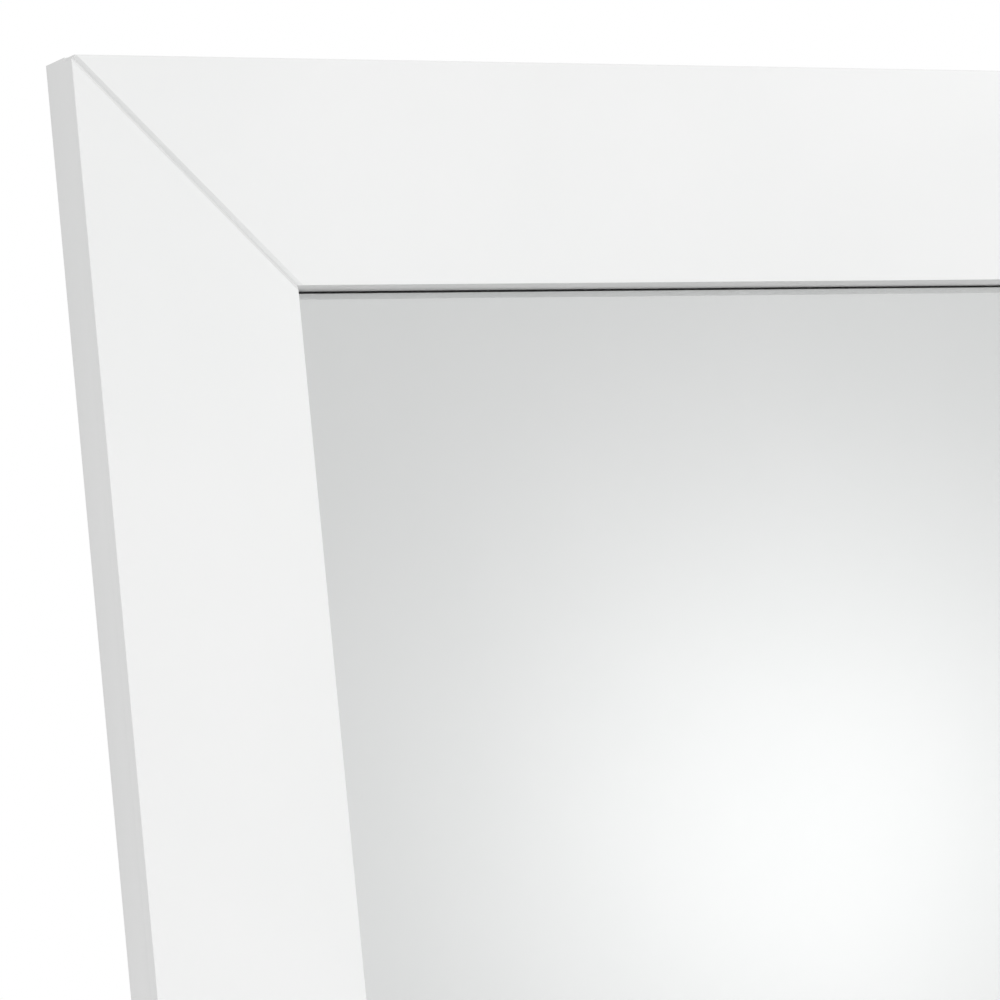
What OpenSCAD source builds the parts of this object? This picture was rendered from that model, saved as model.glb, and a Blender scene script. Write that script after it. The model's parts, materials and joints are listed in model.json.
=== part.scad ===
// Cheval floor mirror: a flat mitred frame that tilts between two posts.
// Millimetres. +Z is up, the glass faces -Y, and the origin is on the floor, midway between the feet.

/* [Mirror frame] */
// Overall width of the tilting frame
frame_w = 600; // [520:10:700]
// Overall height of the tilting frame
frame_h = 1500; // [1400:10:1600]
// Face width of the rails and stiles
member_w = 92; // [84:1:100]
// Thickness of the rails and stiles
member_t = 22; // [22:0.5:26]
// Depth of the visible inner lip in front of the glass
lip_t = 15; // [12:0.5:15]
// Half width of the V groove along each mitre
groove_half = 1.6; // [0.8:0.1:2]
// Depth of the V groove along each mitre
groove_t = 0.9; // [0.3:0.1:1.2]
// Width of the small eased edges
arris = 0.2; // [0.1:0.1:1]

/* [Glazing] */
// Thickness of the clear glass
glass_t = 3; // [3:0.5:3.5]
// Thickness of the black tape that the glass lies against
tape_t = 0.5; // [0.3:0.1:1]
// Thickness of the silver and its backing paint
silver_t = 0.3; // [0.2:0.1:0.4]
// Thickness of the back panel
panel_t = 2.5; // [2:0.5:3]

/* [Tilt] */
// Backward lean of the frame at rest, in degrees
lean = 10.7; // [0:0.1:25]
// Height of the tilt axis above the floor
pivot_h = 940; // [920:5:1000]
// Height of the tilt axis above the middle of the frame
pivot_rise = 20; // [0:5:40]
// Radius of the threaded clamp studs
stud_r = 4; // [3:0.5:4]

/* [Stand] */
// Width of the posts and feet, across the stand
post_w = 34; // [30:1:40]
// Depth of the posts, front to back
post_d = 56; // [50:1:64]
// Length of the feet, front to back
foot_l = 480; // [440:10:560]
// Height of the feet in the middle
foot_h = 46; // [40:1:50]
// Height of the stretcher board
stretcher_h = 80; // [70:1:84]
// Thickness of the stretcher board
stretcher_t = 22; // [20:1:24]

/* [Hidden] */
$fn = 64;

SIDES = [-1, 1];
LEFT = -1;
RIGHT = 1;
eps = 1;

// Frame section: the glass sits in a rebate behind the lip, the back panel in a wider one.
front_y = -member_t / 2;
back_y = member_t / 2;
rebate_w = 9;
ledge_w = 12;
rebate_in = member_w - rebate_w;
ledge_in = rebate_in - ledge_w;
panel_y = back_y - panel_t;
glass_gap = 1.5;
tape_w = rebate_w - glass_gap;
glass_y = front_y + lip_t + tape_t;
silver_y = glass_y + glass_t;
foam_y = silver_y + silver_t;
glass_w = frame_w - 2 * (rebate_in + glass_gap);
glass_h = frame_h - 2 * (rebate_in + glass_gap);
mid_z = -pivot_rise;
notch_h = 0.8;
notch_t = 6;

// Biscuits and plates at the mitres
biscuit_l = 56;
biscuit_w = 23;
biscuit_t = 4;
biscuit_r = (pow(biscuit_l, 2) + pow(biscuit_w, 2)) / (4 * biscuit_w);
biscuit_in = 36;
plate_leg = 64;
plate_w = 16;
plate_t = 1.5;
plate_in = 20;
plate_holes = [32, 54];

// Wood screws: length below the head, core radius, head radius and head height
screw_r = 1.6;
screw_head_r = 3.5;
screw_head_h = 1.8;
plate_screw_l = 14;
panel_screw_l = 15;
panel_inset = ledge_in + ledge_w / 2;

// Pivot hardware, measured along X outwards from the frame's edge
run_gap = 0.05;
face_gap = 0.2;
insert_r = 6;
insert_l = 20;
insert_flange_r = 11;
insert_flange_t = 2;
washer_r = 14;
washer_t = 2;
bush_r = 6.5;
bush_flange_r = 13;
bush_flange_t = 3.8;
bore_r = stud_r + run_gap;
washer_bore_r = stud_r + 0.3;
frame_x = frame_w / 2;
washer_x = frame_x + insert_flange_t;
bush_x = washer_x + washer_t + face_gap;
post_x = bush_x + bush_flange_t;
post_out_x = post_x + post_w;
clamp_washer_r = 16;
knob_x = post_out_x + washer_t;
knob_r = 24;
knob_t = 20;
knob_hub_r = 13;
knob_hub_t = 6;
knob_edge = 3;
knob_flutes = 10;
flute_r = 4.5;
stud_l = knob_x - frame_x + 15;
stud_socket = 12;

// Stand joinery
glide_r = 14;
glide_t = 5;
glide_inset = 30;
glide_bore_r = 2.2;
glide_head_r = 4.2;
glide_head_h = 2;
glide_screw_l = 16;
foot_top = glide_t + foot_h;
foot_end_h = 22;
foot_flat = 120;
stretcher_z = 62;
stretcher_bolt_z = [stretcher_z + stretcher_h * 0.25, stretcher_z + stretcher_h * 0.75];
bolt_r = 3;
bolt_head_r = 5;
bolt_head_h = 5;
bolt_recess_r = 7;
bolt_recess_d = 8;
barrel_r = 5;
barrel_l = 16;
barrel_x = post_x - 34;
bolt_tip_x = barrel_x - 9;
cap_r = 9;
cap_t = 1.5;
cap_plug = 2;
foot_bolt_y = 16;
foot_bolt_r = 4;
foot_bolt_head_r = 6.5;
foot_bolt_head_h = 8;
foot_recess_r = 8;
foot_recess_d = 14;
foot_bolt_l = 50;
post_insert_r = 6.5;
post_insert_l = 24;

paint = "white";
steel = "silver";

// Puts a shape drawn about the tilt axis where the leaning frame is.
module on_mirror() {
    translate([0, 0, pivot_h]) rotate([-lean, 0, 0]) children();
}

// A cylinder from x0 outwards, on the left or right side of the stand.
module axle(side, x0, length, radius) {
    translate([side * x0, 0, 0]) rotate([0, side * 90, 0]) cylinder(h = length, r = radius);
}

// ---- Tilting frame ----

// Rail or stile section along X: its outer edge is at z = 0 and its inner lip hangs below.
module member_bar(length) {
    rotate([0, -90, 0]) linear_extrude(length, center = true) polygon([
        [-arris, front_y], [0, front_y + arris], [0, back_y - arris], [-arris, back_y],
        [-ledge_in, back_y], [-ledge_in, panel_y], [-rebate_in, panel_y],
        [-rebate_in, front_y + lip_t], [-member_w, front_y + lip_t],
        [-member_w, front_y + arris], [arris - member_w, front_y]]);
}

// Lens-shaped biscuit lying across the mitre of a top corner, grown by a clearance.
module biscuit(grow = 0) {
    rotate([0, 45, 0]) rotate([90, 0, 0]) intersection_for (s = SIDES)
        translate([0, s * (biscuit_r - biscuit_w / 2), 0])
            cylinder(h = biscuit_t + 2 * grow, r = biscuit_r + grow, center = true);
}

// Shallow V along the mitre on the front face, with a nick at the front of the outer corner.
module mitre_groove() {
    rotate([0, 45, 0]) rotate([90, 0, 90]) linear_extrude(3 * member_w, center = true) polygon([
        [-eps, groove_half], [0, groove_half], [groove_t, 0], [0, -groove_half],
        [-eps, -groove_half]]);
    cube([2 * groove_half, 2 * notch_t, 2 * notch_h], center = true);
}

// Screw places on one corner plate, from the outer corner along X and down Z.
function plate_screw_places() = [for (a = plate_holes, leg = [0, 1])
    let (near = plate_in + plate_w / 2, far = plate_in + a) leg == 0 ? [far, near] : [near, far]];

// Shortened wood screw, driven along +Y into the back, with its head above y = 0.
module wood_screw(length) {
    rotate([90, 0, 0]) cylinder(h = length, r = screw_r);
    rotate([-90, 0, 0]) difference() {
        cylinder(h = screw_head_h, r = screw_head_r);
        translate([0, 0, screw_head_h / 2]) cylinder(h = screw_head_h, r = 1.5, $fn = 6);
    }
}

// Places children at a top corner of a member of the given length, with X running inwards.
module at_both_ends(length) {
    for (s = SIDES) scale_x(s) translate([-length / 2, 0, 0]) children();
}

// Mirrors children to the right-hand side where side is RIGHT.
module scale_x(side) {
    if (side == RIGHT) mirror([1, 0, 0]) children();
    else children();
}

// One mitred member with grooves, biscuit slots, screw holes, and its row of panel screw holes.
module mitred_member(length, panel_screws) {
    difference() {
        intersection() {
            member_bar(length);
            rotate([90, 0, 0]) linear_extrude(2 * member_t, center = true) polygon([
                [-length / 2, 0], [length / 2, 0],
                [length / 2 - member_w, -member_w], [member_w - length / 2, -member_w]]);
        }
        at_both_ends(length) {
            translate([0, front_y, 0]) mitre_groove();
            translate([biscuit_in, 0, -biscuit_in]) biscuit(0.1);
            for (p = plate_screw_places())
                translate([p[0], back_y, -p[1]]) rotate([90, 0, 0])
                    cylinder(h = plate_screw_l, r = screw_r);
        }
        for (x = panel_screws)
            translate([x, back_y, -panel_inset]) rotate([90, 0, 0])
                cylinder(h = panel_screw_l, r = screw_r);
    }
}

// Even rows of panel screws along the rails and the stiles, kept clear of the corners.
rail_screws = [for (i = [-1 : 1]) i * (frame_w / 2 - panel_inset - 40)];
stile_screws = [for (i = [-2 : 2]) i * (frame_h / 2 - panel_inset - 40) / 2];

module top_rail() {
    color(paint) on_mirror() translate([0, 0, mid_z + frame_h / 2])
        mitred_member(frame_w, rail_screws);
}

module bottom_rail() {
    color(paint) on_mirror() translate([0, 0, mid_z - frame_h / 2])
        mirror([0, 0, 1]) mitred_member(frame_w, rail_screws);
}

// A stile is a member turned upright, bored at the tilt axis for its threaded insert.
module stile(side) {
    color(paint) on_mirror() difference() {
        translate([side * frame_x, 0, mid_z]) rotate([0, side * 90, 0])
            mitred_member(frame_h, stile_screws);
        axle(side, frame_x - insert_l - eps, insert_l + 2 * eps, insert_r);
    }
}

module left_stile() stile(LEFT);
module right_stile() stile(RIGHT);

// Repeats children at the four corners of the frame, with X running inwards and Z down.
module at_corners() {
    for (s = SIDES, flip = [0, 1]) scale_x(s) translate([0, 0, mid_z]) mirror([0, 0, flip])
        translate([-frame_x, 0, frame_h / 2]) children();
}

module mitre_biscuits() {
    color("burlywood") on_mirror() at_corners()
        translate([biscuit_in, 0, -biscuit_in]) biscuit();
}

module corner_plates() {
    color(steel) on_mirror() at_corners() difference() {
        translate([plate_in, back_y, -plate_in]) {
            translate([0, 0, -plate_w]) cube([plate_leg, plate_t, plate_w]);
            translate([0, 0, -plate_leg]) cube([plate_w, plate_t, plate_leg]);
        }
        for (p = plate_screw_places())
            translate([p[0], back_y - eps, -p[1]]) rotate([-90, 0, 0])
                cylinder(h = plate_t + 2 * eps, r = screw_r);
    }
}

module corner_plate_screws() {
    color(steel) on_mirror() at_corners() for (p = plate_screw_places())
        translate([p[0], back_y + plate_t, -p[1]]) wood_screw(plate_t + plate_screw_l);
}

// ---- Glazing ----

// A flat sheet of the glass's outline, starting at depth y.
module sheet(y, thickness, width = glass_w, height = glass_h) {
    translate([-width / 2, y, mid_z - height / 2]) cube([width, thickness, height]);
}

module glazing_tape() {
    color("black") on_mirror() difference() {
        sheet(front_y + lip_t, tape_t);
        sheet(front_y + lip_t - eps, tape_t + 2 * eps, glass_w - 2 * tape_w, glass_h - 2 * tape_w);
    }
}

module setting_blocks() {
    color("dimgray") on_mirror() for (s = SIDES)
        translate([s * glass_w / 4, glass_y + glass_t / 2, mid_z - glass_h / 2 - glass_gap / 2])
            cube([40, glass_t, glass_gap], center = true);
}

module mirror_glass() {
    color("lightblue", 0.4) on_mirror() sheet(glass_y, glass_t);
}

module mirror_silvering() {
    color("gainsboro") on_mirror() sheet(silver_y, silver_t);
}

module foam_liner() {
    color("whitesmoke") on_mirror() sheet(foam_y, panel_y - foam_y);
}

// Every panel screw place as x and z from the middle of the frame.
function panel_screw_places() = concat(
    [for (x = rail_screws, s = SIDES) [x, s * (frame_h / 2 - panel_inset)]],
    [for (z = stile_screws, s = SIDES) [s * (frame_w / 2 - panel_inset), z]]);

module back_panel() {
    color("tan") on_mirror() difference() {
        sheet(panel_y, panel_t, frame_w - 2 * ledge_in - eps, frame_h - 2 * ledge_in - eps);
        for (p = panel_screw_places())
            translate([p[0], panel_y - eps, mid_z + p[1]]) rotate([-90, 0, 0])
                cylinder(h = panel_t + 2 * eps, r = screw_r);
    }
}

module back_panel_screws() {
    color(steel) on_mirror() for (p = panel_screw_places())
        translate([p[0], back_y, mid_z + p[1]]) wood_screw(panel_screw_l);
}

// ---- Pivots and clamps ----

// Flanged threaded insert, screwed into the edge of a stile; its thread is a plain bore.
module insert(side) {
    color("goldenrod") on_mirror() difference() {
        union() {
            axle(side, frame_x - insert_l, insert_l, insert_r);
            axle(side, frame_x, insert_flange_t, insert_flange_r);
        }
        axle(side, frame_x - insert_l - eps, insert_l + insert_flange_t + 2 * eps, bore_r);
    }
}

module left_insert() insert(LEFT);
module right_insert() insert(RIGHT);

// Ring around the tilt axis
module ring(side, x0, thickness, radius, bore) {
    difference() {
        axle(side, x0, thickness, radius);
        axle(side, x0 - eps, thickness + 2 * eps, bore);
    }
}

module friction_washer(side) {
    color("darkgray") on_mirror() ring(side, washer_x, washer_t, washer_r, washer_bore_r);
}

module left_friction_washer() friction_washer(LEFT);
module right_friction_washer() friction_washer(RIGHT);

module clamp_washer(side) {
    color(steel) translate([0, 0, pivot_h])
        ring(side, post_out_x, washer_t, clamp_washer_r, washer_bore_r);
}

module left_clamp_washer() clamp_washer(LEFT);
module right_clamp_washer() clamp_washer(RIGHT);

// Fluted round knob with a slightly raised face, bored for its stud.
module knob(side) {
    color(steel) translate([side * knob_x, 0, pivot_h]) rotate([0, side * 90, 0]) difference() {
        rotate_extrude() polygon([
            [0, 0], [knob_hub_r - 1, 0], [knob_hub_r, 1], [knob_hub_r, knob_hub_t],
            [knob_r - knob_edge, knob_hub_t], [knob_r, knob_hub_t + knob_edge],
            [knob_r, knob_hub_t + knob_t - knob_edge], [knob_r - knob_edge, knob_hub_t + knob_t],
            [knob_hub_r, knob_hub_t + knob_t + 1], [0, knob_hub_t + knob_t + 1]]);
        for (i = [0 : knob_flutes - 1])
            rotate(i * 360 / knob_flutes) translate([knob_r + flute_r / 2, 0, knob_hub_t - eps])
                cylinder(h = knob_t + 2 * eps, r = flute_r);
        translate([0, 0, -eps]) cylinder(h = stud_socket + eps, r = stud_r);
    }
}

module left_knob() knob(LEFT);
module right_knob() knob(RIGHT);

module knob_stud(side) {
    color(steel) translate([0, 0, pivot_h])
        axle(side, knob_x + stud_socket - stud_l, stud_l, stud_r);
}

module left_knob_stud() knob_stud(LEFT);
module right_knob_stud() knob_stud(RIGHT);

// Flanged bush through the post; the stud turns in its bore.
module pivot_bush(side) {
    color("goldenrod") translate([0, 0, pivot_h]) difference() {
        union() {
            axle(side, bush_x, bush_flange_t, bush_flange_r);
            axle(side, post_x, post_w, bush_r);
        }
        axle(side, bush_x - eps, bush_flange_t + post_w + 2 * eps, bore_r);
    }
}

module left_pivot_bush() pivot_bush(LEFT);
module right_pivot_bush() pivot_bush(RIGHT);

// ---- Stand ----

// Extrudes a front-to-back outline, drawn as y and z, across the width of one side of the stand.
module side_board(side) {
    translate([side * (post_x + post_w / 2), 0, 0]) rotate([90, 0, 90])
        linear_extrude(post_w, center = true) children();
}

// Post with a half-round head about the tilt axis
module post(side) {
    color(paint) difference() {
        side_board(side) union() {
            translate([-post_d / 2, foot_top]) square([post_d, pivot_h - foot_top]);
            translate([0, pivot_h]) circle(r = post_d / 2);
        }
        translate([0, 0, pivot_h]) axle(side, post_x - eps, post_w + 2 * eps, bush_r);
        for (z = stretcher_bolt_z) translate([0, 0, z]) {
            axle(side, post_x - eps, post_w, bolt_r);
            axle(side, post_out_x - bolt_recess_d, bolt_recess_d + eps, bolt_recess_r);
        }
        for (s = SIDES) translate([side * (post_x + post_w / 2), s * foot_bolt_y, foot_top - eps])
            cylinder(h = post_insert_l + 4 + eps, r = post_insert_r);
    }
}

module left_post() post(LEFT);
module right_post() post(RIGHT);

// Tapered foot, drilled from below for the post bolts and the glide screws.
module foot(side) {
    color(paint) difference() {
        side_board(side) polygon([
            [-foot_l / 2, glide_t], [foot_l / 2, glide_t], [foot_l / 2, glide_t + foot_end_h],
            [foot_flat / 2, foot_top], [-foot_flat / 2, foot_top],
            [-foot_l / 2, glide_t + foot_end_h]]);
        for (s = SIDES) translate([side * (post_x + post_w / 2), 0, 0]) {
            translate([0, s * foot_bolt_y, 0]) cylinder(h = foot_top + eps, r = foot_bolt_r);
            translate([0, s * foot_bolt_y, 0]) cylinder(h = glide_t + foot_recess_d, r = foot_recess_r);
            translate([0, s * (foot_l / 2 - glide_inset), 0])
                cylinder(h = glide_t + glide_screw_l, r = screw_r);
        }
    }
}

module left_foot() foot(LEFT);
module right_foot() foot(RIGHT);

module stretcher() {
    color(paint) difference() {
        translate([-post_x, -stretcher_t / 2, stretcher_z])
            cube([2 * post_x, stretcher_t, stretcher_h]);
        for (side = SIDES, z = stretcher_bolt_z) translate([0, 0, z]) {
            axle(side, bolt_tip_x - eps, post_x - bolt_tip_x + 2 * eps, bolt_r);
            translate([side * barrel_x, -barrel_l / 2, 0]) rotate([-90, 0, 0])
                cylinder(h = stretcher_t, r = barrel_r);
        }
    }
}

// Socket head bolt along X, from its tip to the head in the post's recess.
module stretcher_bolts() {
    head_x = post_out_x - bolt_recess_d;
    color(steel) for (side = SIDES, z = stretcher_bolt_z) translate([0, 0, z]) {
        axle(side, bolt_tip_x, head_x - bolt_tip_x, bolt_r);
        difference() {
            axle(side, head_x, bolt_head_h, bolt_head_r);
            translate([side * (head_x + 2), 0, 0]) rotate([0, side * 90, 0])
                cylinder(h = bolt_head_h, r = 2.8, $fn = 6);
        }
    }
}

module barrel_nuts() {
    color(steel) for (side = SIDES, z = stretcher_bolt_z) translate([0, 0, z]) difference() {
        translate([side * barrel_x, -barrel_l / 2, 0]) rotate([-90, 0, 0])
            cylinder(h = barrel_l, r = barrel_r);
        axle(side, barrel_x - 2 * barrel_r, 4 * barrel_r, bolt_r);
    }
}

// Caps that close the bolt recesses on the outside of the posts
module bolt_caps() {
    color(paint) for (side = SIDES, z = stretcher_bolt_z) translate([0, 0, z]) {
        axle(side, post_out_x, cap_t, cap_r);
        axle(side, post_out_x - cap_plug, cap_plug, bolt_recess_r);
    }
}

// Bolts up through each foot into the inserts in the end of the post
module foot_bolts() {
    head_z = glide_t + foot_recess_d;
    color(steel) for (side = SIDES, s = SIDES)
        translate([side * (post_x + post_w / 2), s * foot_bolt_y, head_z]) {
            cylinder(h = foot_bolt_l, r = foot_bolt_r);
            difference() {
                translate([0, 0, -foot_bolt_head_h])
                    cylinder(h = foot_bolt_head_h, r = foot_bolt_head_r);
                translate([0, 0, -foot_bolt_head_h - eps])
                    cylinder(h = foot_bolt_head_h / 2 + eps, r = 3.4, $fn = 6);
            }
        }
}

module post_inserts() {
    color("goldenrod") for (side = SIDES, s = SIDES)
        translate([side * (post_x + post_w / 2), s * foot_bolt_y, foot_top]) difference() {
            cylinder(h = post_insert_l, r = post_insert_r);
            translate([0, 0, -eps]) cylinder(h = post_insert_l + 2 * eps, r = foot_bolt_r);
        }
}

// Repeats children under the ends of both feet.
module at_glides() {
    for (side = SIDES, s = SIDES)
        translate([side * (post_x + post_w / 2), s * (foot_l / 2 - glide_inset), 0]) children();
}

module glides() {
    color("gray") at_glides() difference() {
        cylinder(h = glide_t, r = glide_r);
        translate([0, 0, -eps]) cylinder(h = glide_t + 2 * eps, r = glide_bore_r);
        translate([0, 0, -eps]) cylinder(h = glide_t / 2 + eps, r = glide_head_r + 0.3);
    }
}

module glide_screws() {
    color(steel) at_glides() {
        translate([0, 0, glide_t / 2]) cylinder(h = glide_t / 2 + glide_screw_l, r = screw_r);
        translate([0, 0, glide_t / 2 - glide_head_h]) cylinder(h = glide_head_h, r = glide_head_r);
    }
}

top_rail();
bottom_rail();
left_stile();
right_stile();
mitre_biscuits();
corner_plates();
corner_plate_screws();
glazing_tape();
setting_blocks();
mirror_glass();
mirror_silvering();
foam_liner();
back_panel();
back_panel_screws();
left_insert();
right_insert();
left_friction_washer();
right_friction_washer();
left_clamp_washer();
right_clamp_washer();
left_knob();
right_knob();
left_knob_stud();
right_knob_stud();
left_pivot_bush();
right_pivot_bush();
left_post();
right_post();
left_foot();
right_foot();
stretcher();
stretcher_bolts();
barrel_nuts();
bolt_caps();
foot_bolts();
post_inserts();
glides();
glide_screws();
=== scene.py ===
import json
import math

import bmesh
import bpy
from mathutils import Matrix, Vector


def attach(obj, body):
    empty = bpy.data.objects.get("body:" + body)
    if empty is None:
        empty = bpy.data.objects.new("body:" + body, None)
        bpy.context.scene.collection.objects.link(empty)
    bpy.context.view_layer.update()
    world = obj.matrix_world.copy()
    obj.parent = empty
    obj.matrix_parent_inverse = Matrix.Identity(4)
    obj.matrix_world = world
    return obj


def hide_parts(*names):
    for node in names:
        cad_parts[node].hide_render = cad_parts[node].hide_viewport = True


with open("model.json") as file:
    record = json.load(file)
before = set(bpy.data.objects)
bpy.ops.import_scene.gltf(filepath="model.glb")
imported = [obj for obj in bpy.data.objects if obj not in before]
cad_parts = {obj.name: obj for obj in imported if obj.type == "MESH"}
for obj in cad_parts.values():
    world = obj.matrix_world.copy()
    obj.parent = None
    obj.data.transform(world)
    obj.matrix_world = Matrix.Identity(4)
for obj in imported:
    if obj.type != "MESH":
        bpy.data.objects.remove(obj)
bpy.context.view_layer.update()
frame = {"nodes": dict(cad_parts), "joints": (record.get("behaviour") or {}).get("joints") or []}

# Cheval floor mirror: looks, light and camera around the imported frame. Metres, +Z up.

MM = 0.001
NODES = frame["nodes"]
JOINTS = {joint["name"]: joint for joint in frame["joints"]}
PIVOT = Vector(JOINTS["mirror_tilt"]["pos_m"])

# ---- Where things are ----


def leaning_back(node):
    """How far the sheet's front face leans back from upright, in radians."""
    front = max(
        (face for face in NODES[node].data.polygons if face.normal.y < 0),
        key=lambda face: face.area,
    )
    return math.atan2(front.normal.z, -front.normal.y)


LEAN = leaning_back("mirror_glass")
MIRROR_PLACE = Matrix.Translation(PIVOT) @ Matrix.Rotation(-LEAN, 4, "X")
TO_MIRROR = MIRROR_PLACE.inverted()


def mirror_box(*nodes):
    """Lowest and highest corner of CAD nodes, measured square to the leaning frame about its axis."""
    points = [TO_MIRROR @ v.co for node in nodes for v in NODES[node].data.vertices]
    low = Vector(min(p[i] for p in points) for i in range(3))
    high = Vector(max(p[i] for p in points) for i in range(3))
    return low, high


FRAME_LOW, FRAME_HIGH = mirror_box("left_stile", "right_stile", "top_rail", "bottom_rail")
TOP_LEFT_CORNER = MIRROR_PLACE @ Vector((FRAME_LOW.x, FRAME_LOW.y, FRAME_HIGH.z))

# ---- Materials ----


NOISE_LOW, NOISE_HIGH = 0.3, 0.7


class Shader:
    """A node material with its Principled shader, object coordinates and small helpers."""

    def __init__(self, name):
        self.material = bpy.data.materials.new(name)
        self.material.use_nodes = True
        self.tree = self.material.node_tree
        self.principled = self.tree.nodes["Principled BSDF"]
        coordinates = self.tree.nodes.new("ShaderNodeTexCoord")
        self.place = coordinates.outputs["Object"]

    def node(self, kind, **inputs):
        """A new node; each input is named by its socket, with _ for a space."""
        made = self.tree.nodes.new(kind)
        for name, value in inputs.items():
            self.join(made, name.replace("_", " "), value)
        return made

    def join(self, node, socket, value):
        """Links another node's output to a socket, or sets the socket's number or colour."""
        if isinstance(value, bpy.types.NodeSocket):
            self.tree.links.new(value, node.inputs[socket])
        else:
            node.inputs[socket].default_value = value

    def set(self, socket, value):
        """A socket of the Principled shader itself."""
        self.join(self.principled, socket, value)

    def stretched(self, x, y, z):
        """Object coordinates scaled along each axis; a small number draws a pattern out."""
        mapping = self.node("ShaderNodeMapping", Vector=self.place, Scale=(x, y, z))
        return mapping.outputs["Vector"]

    def noise(self, scale, detail=2.0, place=None):
        made = self.node("ShaderNodeTexNoise", Vector=place or self.place, Scale=scale, Detail=detail)
        return made.outputs["Fac"]

    def blend(self, factor, first, second):
        """Colour between first and second; the noise's middle band is spread over the whole blend."""
        ramp = self.tree.nodes.new("ShaderNodeValToRGB")
        ends = ((NOISE_LOW, first), (NOISE_HIGH, second))
        for element, (position, colour) in zip(ramp.color_ramp.elements, ends):
            element.position = position
            element.color = (*colour, 1.0)
        self.join(ramp, "Fac", factor)
        return ramp.outputs["Color"]

    def spread(self, factor, low, high):
        """Number between low and high, in the same way."""
        return self.node(
            "ShaderNodeMapRange",
            Value=factor,
            From_Min=NOISE_LOW,
            From_Max=NOISE_HIGH,
            To_Min=low,
            To_Max=high,
        ).outputs["Result"]

    def bump(self, height, depth, strength, under=None):
        """Normal of a relief that deep, laid over another one if under is its normal."""
        bumped = self.node("ShaderNodeBump", Height=height, Distance=depth, Strength=strength)
        if under is not None:
            self.join(bumped, "Normal", under)
        return bumped.outputs["Normal"]


def white_paint(name, grain, painted_shade=1.0):
    """Sprayed satin paint: fine orange peel, faint sanding marks along the grain, handling marks.

    A last argument below 1 darkens the colour: painted shade, standing in for the shade inside hollows
    such as the mitre grooves."""
    shader = Shader(name)
    broad = shader.noise(7.0, 3.0)
    along = shader.noise(60.0, 3.0, shader.stretched(*grain))
    peel = shader.noise(420.0, 2.0)
    fine = shader.noise(2200.0, 1.0)
    dull, clean = Vector((0.845, 0.852, 0.848)), Vector((0.868, 0.870, 0.868))
    shader.set("Base Color", shader.blend(broad, painted_shade * dull, painted_shade * clean))
    shader.set("Roughness", shader.spread(broad, 0.17, 0.23))
    sanded = shader.bump(along, 0.02 * MM, 0.5)
    peeled = shader.bump(peel, 0.03 * MM, 0.6, sanded)
    shader.set("Normal", shader.bump(fine, 0.004 * MM, 0.5, peeled))
    shader.set("Specular IOR Level", 0.45)
    return shader.material


def wood(name, dark, light, grain):
    """Bare wood or fibre board with streaks along the grain."""
    shader = Shader(name)
    streaks = shader.noise(55.0, 6.0, shader.stretched(*grain))
    fibres = shader.noise(900.0, 4.0, shader.stretched(*grain))
    shader.set("Base Color", shader.blend(streaks, dark, light))
    shader.set("Roughness", shader.spread(fibres, 0.62, 0.82))
    shader.set("Normal", shader.bump(fibres, 0.05 * MM, 0.6))
    return shader.material


def hardboard(name):
    """Pressed brown fibre board with loose darker fibres and a slight sheen."""
    shader = Shader(name)
    mottle = shader.noise(160.0, 8.0)
    fibres = shader.noise(1300.0, 6.0, shader.stretched(1.0, 1.0, 0.25))
    shader.set("Base Color", shader.blend(mottle, (0.205, 0.118, 0.062), (0.300, 0.182, 0.100)))
    shader.set("Roughness", shader.spread(fibres, 0.48, 0.70))
    shader.set("Normal", shader.bump(fibres, 0.06 * MM, 0.6))
    return shader.material


def metal(name, dark, light, smooth, rough, brush=(1.0, 1.0, 1.0)):
    """Bare or plated metal, brushed along one direction, with duller patches."""
    shader = Shader(name)
    patches = shader.noise(90.0, 3.0)
    scratches = shader.noise(1600.0, 3.0, shader.stretched(*brush))
    shader.set("Base Color", shader.blend(patches, dark, light))
    shader.set("Metallic", 1.0)
    shader.set("Roughness", shader.spread(scratches, smooth, rough))
    shader.set("Normal", shader.bump(scratches, 0.006 * MM, 0.5))
    return shader.material


def turned_metal(name, dark, light, centre):
    """Plated metal with fine turning marks in rings about an axis along X through centre."""
    shader = Shader(name)
    apart = shader.node("ShaderNodeVectorMath", Vector=shader.place)
    apart.operation = "SUBTRACT"
    apart.inputs[1].default_value = centre
    flat = shader.node("ShaderNodeVectorMath", Vector=apart.outputs["Vector"])
    flat.operation = "MULTIPLY"
    flat.inputs[1].default_value = (0.0, 1.0, 1.0)
    length = shader.node("ShaderNodeVectorMath", Vector=flat.outputs["Vector"])
    length.operation = "LENGTH"
    rings = shader.tree.nodes.new("ShaderNodeTexNoise")
    rings.noise_dimensions = "1D"
    shader.join(rings, "W", length.outputs["Value"])
    rings.inputs["Scale"].default_value = 2600.0
    patches = shader.noise(130.0, 3.0)
    shader.set("Base Color", shader.blend(patches, dark, light))
    shader.set("Metallic", 1.0)
    shader.set("Roughness", shader.spread(rings.outputs["Fac"], 0.22, 0.34))
    shader.set("Normal", shader.bump(rings.outputs["Fac"], 0.008 * MM, 0.5))
    return shader.material


def plain(name, dark, light, smooth, rough, scale=300.0, depth=0.03):
    """Plastic, rubber, felt or foam: a mottled colour with a matching texture; depth in millimetres."""
    shader = Shader(name)
    mottle = shader.noise(scale, 4.0)
    pits = shader.noise(4.0 * scale, 3.0)
    shader.set("Base Color", shader.blend(mottle, dark, light))
    shader.set("Roughness", shader.spread(mottle, smooth, rough))
    shader.set("Normal", shader.bump(pits, depth * MM, 0.6))
    return shader.material


def clear_glass(name):
    """Float glass with a trace of green."""
    shader = Shader(name)
    haze = shader.noise(12.0, 3.0)
    shader.set("Base Color", shader.blend(haze, (0.981, 0.986, 0.984), (0.989, 0.992, 0.991)))
    shader.set("Roughness", 0.0)
    shader.set("IOR", 1.52)
    shader.set("Transmission Weight", 1.0)
    return shader.material


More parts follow.
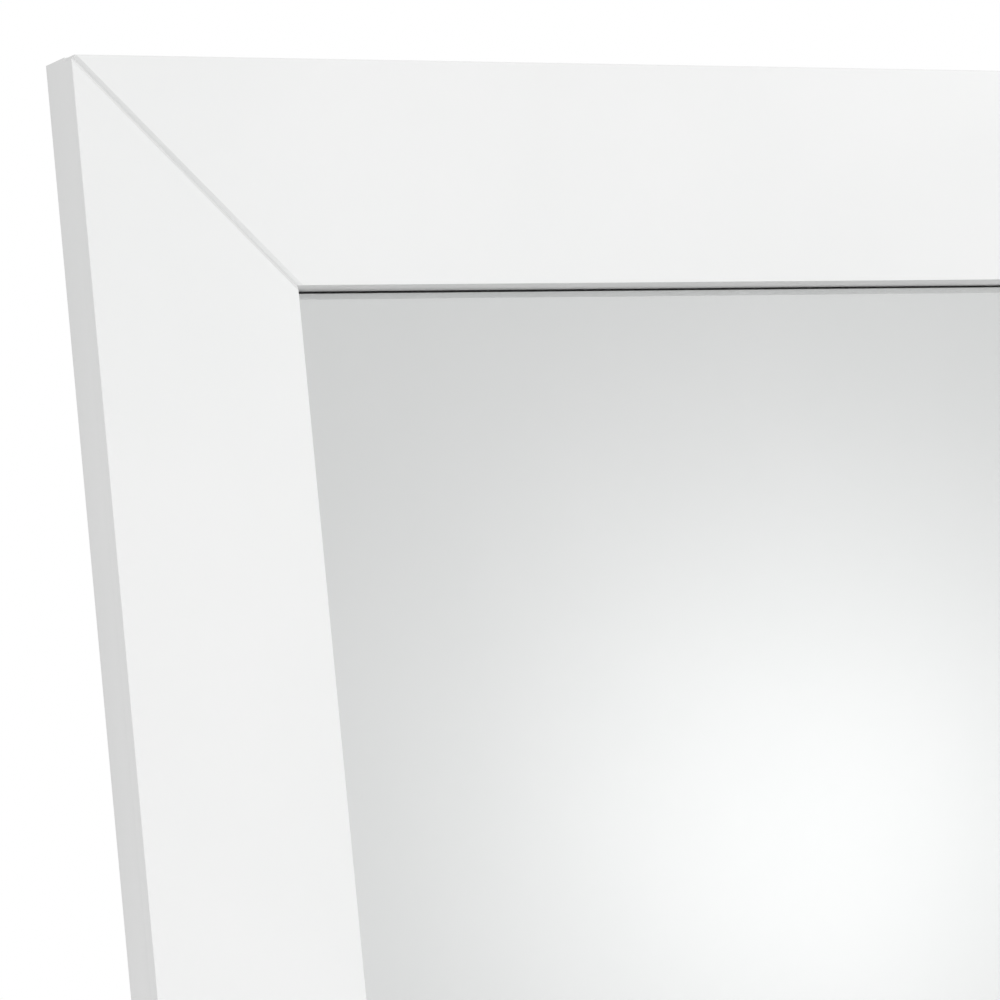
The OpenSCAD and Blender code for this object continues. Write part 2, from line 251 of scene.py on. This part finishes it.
def silvering(name):
    """Silver seen through the glass, very slightly uneven."""
    shader = Shader(name)
    cloud = shader.noise(9.0, 3.0)
    shader.set("Base Color", shader.blend(cloud, (0.934, 0.938, 0.937), (0.942, 0.946, 0.945)))
    shader.set("Metallic", 1.0)
    shader.set("Roughness", 0.0)
    return shader.material


# Painted shade: the slopes of the mitre grooves get the white paint darkened to this share, in place of
# the shade inside the grooves.
JOINT_PAINTED_SHADE = 0.88
ALONG_X = (0.05, 1.0, 1.0)
ALONG_Y = (1.0, 0.05, 1.0)
ALONG_Z = (1.0, 1.0, 0.05)
PAINT_X = white_paint("white_paint_rails", ALONG_X)
PAINT_Y = white_paint("white_paint_feet", ALONG_Y)
PAINT_Z = white_paint("white_paint_stiles", ALONG_Z)
PAINT_MITRE_SHADE = white_paint("white_paint_mitres_painted_shade", ALONG_X, JOINT_PAINTED_SHADE)
BEECH = wood("beech", (0.50, 0.33, 0.19), (0.68, 0.49, 0.31), ALONG_Z)
PANEL = hardboard("hardboard")
ZINC = metal("zinc_plated_steel", (0.56, 0.57, 0.58), (0.68, 0.68, 0.67), 0.26, 0.42)
BRASS = metal("brass", (0.66, 0.47, 0.20), (0.76, 0.58, 0.28), 0.25, 0.40)
NICKEL = turned_metal("satin_nickel", (0.60, 0.58, 0.54), (0.68, 0.66, 0.62), PIVOT)
BLACK_TAPE = plain("black_foam_tape", (0.004, 0.004, 0.004), (0.010, 0.010, 0.010), 0.85, 0.95)
RUBBER = plain("black_rubber", (0.020, 0.020, 0.021), (0.036, 0.036, 0.038), 0.60, 0.80)
FOAM = plain("white_foam", (0.76, 0.76, 0.73), (0.84, 0.84, 0.82), 0.85, 0.95, 600.0, 0.1)
NYLON = plain("natural_nylon", (0.66, 0.65, 0.60), (0.74, 0.73, 0.68), 0.45, 0.60)
GLIDE = plain("grey_glide_plastic", (0.150, 0.150, 0.155), (0.200, 0.200, 0.205), 0.50, 0.70)
CAP = plain("white_cap_plastic", (0.82, 0.82, 0.81), (0.86, 0.86, 0.855), 0.30, 0.42)
GLASS = clear_glass("clear_glass")
SILVER = silvering("silvering")

# ---- Pieces ----


def add_mesh(name, mesh, material, body, node, smooth=True):
    """Puts a finished mesh in the scene as a piece that rides on a body and stands for a CAD node."""
    mesh.materials.clear()
    mesh.materials.append(material)
    for polygon in mesh.polygons:
        polygon.use_smooth = smooth
        polygon.material_index = 0
    piece = bpy.data.objects.new(name, mesh)
    bpy.context.scene.collection.objects.link(piece)
    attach(piece, body)
    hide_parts(node)
    return piece


EASED_ANGLE = math.radians(12)
FLAT_ANGLE = math.radians(0.5)
MERGE_DISTANCE = 0.005 * MM


def soften(piece, width, segments=3):
    """Rounds the sharp edges of a piece and keeps its flat faces flat."""
    bevel = piece.modifiers.new("eased_edges", "BEVEL")
    bevel.width = width
    bevel.segments = segments
    bevel.limit_method = "ANGLE"
    bevel.angle_limit = EASED_ANGLE
    bevel.harden_normals = True
    return piece


def joined_up(node):
    """A copy of a CAD node's mesh with its flat faces merged and its corners shared."""
    made = bmesh.new()
    made.from_mesh(NODES[node].data)
    bmesh.ops.remove_doubles(made, verts=made.verts, dist=MERGE_DISTANCE)
    bmesh.ops.dissolve_limit(
        made, angle_limit=FLAT_ANGLE, verts=made.verts, edges=made.edges
    )
    mesh = bpy.data.meshes.new(node + "_eased")
    made.to_mesh(mesh)
    made.free()
    return mesh


def eased(node, body, material, width):
    """The CAD node as a piece with softly rounded edges."""
    piece = add_mesh(node + "_eased", joined_up(node), material, body, node)
    return soften(piece, width)


FACES_FORWARD = -0.5
SLOPES = 0.2


def paint_shade_in_mitres(piece):
    """Gives the slopes of the mitre grooves, which face sideways and up or down too, a darker paint:
    painted shade in place of the shade inside the grooves.
    """
    piece.data.materials.append(PAINT_MITRE_SHADE)
    for polygon in piece.data.polygons:
        across, forward, up = TO_MIRROR.to_3x3() @ polygon.normal
        if forward < FACES_FORWARD and min(abs(across), abs(up)) > SLOPES:
            polygon.material_index = 1


HAIR = 0.02 * MM
SHEET_EDGE = 0.1 * MM


def thin_sheet(node, body, material, back_gap):
    """A glazing sheet as its own box, stopping a hair short of the sheet behind it."""
    low, high = mirror_box(node)
    high.y -= back_gap
    middle, span = (low + high) / 2, high - low
    made = bmesh.new()
    bmesh.ops.create_cube(made, size=1.0)
    for vertex in made.verts:
        vertex.co = MIRROR_PLACE @ (middle + Vector(a * b for a, b in zip(vertex.co, span)))
    mesh = bpy.data.meshes.new(node + "_sheet")
    made.to_mesh(mesh)
    made.free()
    piece = add_mesh(node + "_sheet", mesh, material, body, node)
    return soften(piece, SHEET_EDGE, segments=2)


def proud_ring(node, body, material, step):
    """A flat ring round the opening, its inner edge standing a step further in than the CAD node's."""
    low, high = mirror_box(node)
    middle = (low + high) / 2
    mesh = joined_up(node)
    for vertex in mesh.vertices:
        place = TO_MIRROR @ vertex.co
        if low.x + HAIR < place.x < high.x - HAIR and low.z + HAIR < place.z < high.z - HAIR:
            for axis in (0, 2):
                place[axis] -= math.copysign(step, place[axis] - middle[axis])
            vertex.co = MIRROR_PLACE @ place
    return add_mesh(node + "_ring", mesh, material, body, node, smooth=False)


thin_sheet("mirror_glass", "mirror_frame", GLASS, HAIR)
thin_sheet("mirror_silvering", "mirror_frame", SILVER, HAIR)

TAPE_PROUD = 0.14 * MM
proud_ring("glazing_tape", "mirror_frame", BLACK_TAPE, TAPE_PROUD)

FRAME_EDGE = 0.12 * MM
BOARD_EDGE = 1.5 * MM
for node, paint in (
    ("top_rail", PAINT_X),
    ("bottom_rail", PAINT_X),
    ("left_stile", PAINT_Z),
    ("right_stile", PAINT_Z),
):
    # The mitre-groove slopes of each frame member get the darker paint, which is painted shade.
    paint_shade_in_mitres(eased(node, "mirror_frame", paint, FRAME_EDGE))
for node, paint in (
    ("left_post", PAINT_Z),
    ("right_post", PAINT_Z),
    ("left_foot", PAINT_Y),
    ("right_foot", PAINT_Y),
    ("stretcher", PAINT_X),
):
    eased(node, "stand", paint, BOARD_EDGE)

# node, body, material, slot, width of the eased edge in millimetres
HARDWARE = (
    ("corner_plates", "mirror_frame", ZINC, "zinc_steel", 0.5),
    ("corner_plate_screws", "mirror_frame", ZINC, "zinc_steel", 0.5),
    ("back_panel", "mirror_frame", PANEL, "hardboard", 0.3),
    ("back_panel_screws", "mirror_frame", ZINC, "zinc_steel", 0.5),
    ("left_friction_washer", "mirror_frame", NYLON, "nylon", 0.3),
    ("right_friction_washer", "mirror_frame", NYLON, "nylon", 0.3),
    ("left_clamp_washer", "left_washer", ZINC, "zinc_steel", 0.4),
    ("right_clamp_washer", "right_washer", ZINC, "zinc_steel", 0.4),
    ("left_knob", "left_clamp", NICKEL, "satin_nickel", 0.7),
    ("right_knob", "right_clamp", NICKEL, "satin_nickel", 0.7),
    ("left_pivot_bush", "stand", BRASS, "brass_fitting", 0.3),
    ("right_pivot_bush", "stand", BRASS, "brass_fitting", 0.3),
    ("bolt_caps", "stand", CAP, "cap_plastic", 0.7),
    ("glides", "stand", GLIDE, "felt_grey_plastic", 0.8),
)
for node, body, material, slot, width in HARDWARE:
    eased(node, body, material, width * MM)

CAD_LOOKS = {
    "mitre_biscuits": BEECH,
    "setting_blocks": RUBBER,
    "foam_liner": FOAM,
    "left_insert": BRASS,
    "right_insert": BRASS,
    "left_knob_stud": ZINC,
    "right_knob_stud": ZINC,
    "stretcher_bolts": ZINC,
    "barrel_nuts": ZINC,
    "foot_bolts": ZINC,
    "post_inserts": BRASS,
    "glide_screws": ZINC,
}
for node, material in CAD_LOOKS.items():
    NODES[node].data.materials.clear()
    NODES[node].data.materials.append(material)

# ---- Stage ----

FLOOR_RADIUS = 5.0
FLOOR_SIDES = 128


def floor():
    """A plain pale studio floor."""
    made = bmesh.new()
    bmesh.ops.create_circle(made, cap_ends=True, radius=FLOOR_RADIUS, segments=FLOOR_SIDES)
    mesh = bpy.data.meshes.new("floor")
    made.to_mesh(mesh)
    made.free()
    shader = Shader("pale_floor")
    mottle = shader.noise(3.0, 4.0)
    shader.set("Base Color", shader.blend(mottle, (0.80, 0.80, 0.80), (0.82, 0.82, 0.82)))
    shader.set("Roughness", shader.spread(mottle, 0.60, 0.70))
    mesh.materials.append(shader.material)
    piece = bpy.data.objects.new("floor", mesh)
    bpy.context.scene.collection.objects.link(piece)


floor()

# ---- Light ----


def heading(azimuth, elevation):
    """Unit vector away from the mirror: azimuth in degrees from -Y to +X, elevation above level."""
    a, e = math.radians(azimuth), math.radians(elevation)
    return Vector((math.sin(a) * math.cos(e), -math.cos(a) * math.cos(e), math.sin(e)))


ROOM = 0.676
GLOW = 0.404
GLOW_TIGHTNESS = 380.0
GLOW_HEADING = heading(35.92, 10.77)
BACKDROP = 1.0


def studio_world():
    """Even white room light with one soft round glow in front, and a white backdrop."""
    world = bpy.data.worlds.new("studio")
    world.use_nodes = True
    bpy.context.scene.world = world
    tree = world.node_tree
    background = tree.nodes["Background"]
    place = tree.nodes.new("ShaderNodeTexCoord").outputs["Generated"]
    towards = tree.nodes.new("ShaderNodeVectorMath")
    towards.operation = "DOT_PRODUCT"
    tree.links.new(place, towards.inputs[0])
    towards.inputs[1].default_value = GLOW_HEADING

    def maths(operation, first, second):
        made = tree.nodes.new("ShaderNodeMath")
        made.operation = operation
        for socket, value in zip(made.inputs, (first, second)):
            if isinstance(value, bpy.types.NodeSocket):
                tree.links.new(value, socket)
            elif value is not None:
                socket.default_value = value
        return made.outputs["Value"]

    away = maths("SUBTRACT", towards.outputs["Value"], 1.0)
    falloff = maths("EXPONENT", maths("MULTIPLY", away, GLOW_TIGHTNESS), None)
    light = maths("ADD", maths("MULTIPLY", falloff, GLOW), ROOM)
    camera_ray = tree.nodes.new("ShaderNodeLightPath").outputs["Is Camera Ray"]
    unseen = maths("MULTIPLY", light, maths("SUBTRACT", 1.0, camera_ray))
    strength = maths("ADD", unseen, maths("MULTIPLY", camera_ray, BACKDROP))
    tree.links.new(strength, background.inputs["Strength"])
    background.inputs["Color"].default_value = (1.0, 1.0, 1.0, 1.0)


LIGHT_TARGET = Vector((0.0, 0.0, 1.0))


def softbox(name, towards, distance, size, power):
    """A square soft light in that direction from the middle of the object, aimed at it; in watts."""
    light = bpy.data.lights.new(name, "AREA")
    light.shape = "SQUARE"
    light.size = size
    light.energy = power
    lamp = bpy.data.objects.new(name, light)
    bpy.context.scene.collection.objects.link(lamp)
    lamp.location = LIGHT_TARGET + distance * towards
    lamp.rotation_euler = (-towards).to_track_quat("-Z", "Y").to_euler()
    return lamp


studio_world()
softbox("key_right", heading(58, 44), 3.6, 2.0, 22.0)
softbox("broad_front", heading(-8, 24), 3.6, 2.4, 17.5)
softbox("low_front", heading(0, -7), 2.6, 1.0, 9.0)
softbox("fill_left", heading(-78, 12), 3.4, 2.0, 10.0)

# ---- Camera ----

VIEW_AZIMUTH = math.radians(32.02)
VIEW_DOWN = math.radians(3.09)
CAMERA_FROM_CORNER = Vector((-0.9604, -1.8510, -0.0617))
FOCAL_LENGTH = 191.46
SENSOR_WIDTH = 36.0
CLIP_START = 0.05


def camera():
    """Seen from the left at eye height, close on the top left corner of the frame."""
    data = bpy.data.cameras.new("camera")
    data.sensor_width = SENSOR_WIDTH
    data.lens = FOCAL_LENGTH
    data.clip_start = CLIP_START
    made = bpy.data.objects.new("camera", data)
    bpy.context.scene.collection.objects.link(made)
    made.location = TOP_LEFT_CORNER + CAMERA_FROM_CORNER
    made.rotation_euler = (math.pi / 2 - VIEW_DOWN, 0.0, -VIEW_AZIMUTH)
    bpy.context.scene.camera = made


camera()
bpy.context.scene.view_settings.view_transform = "Standard"
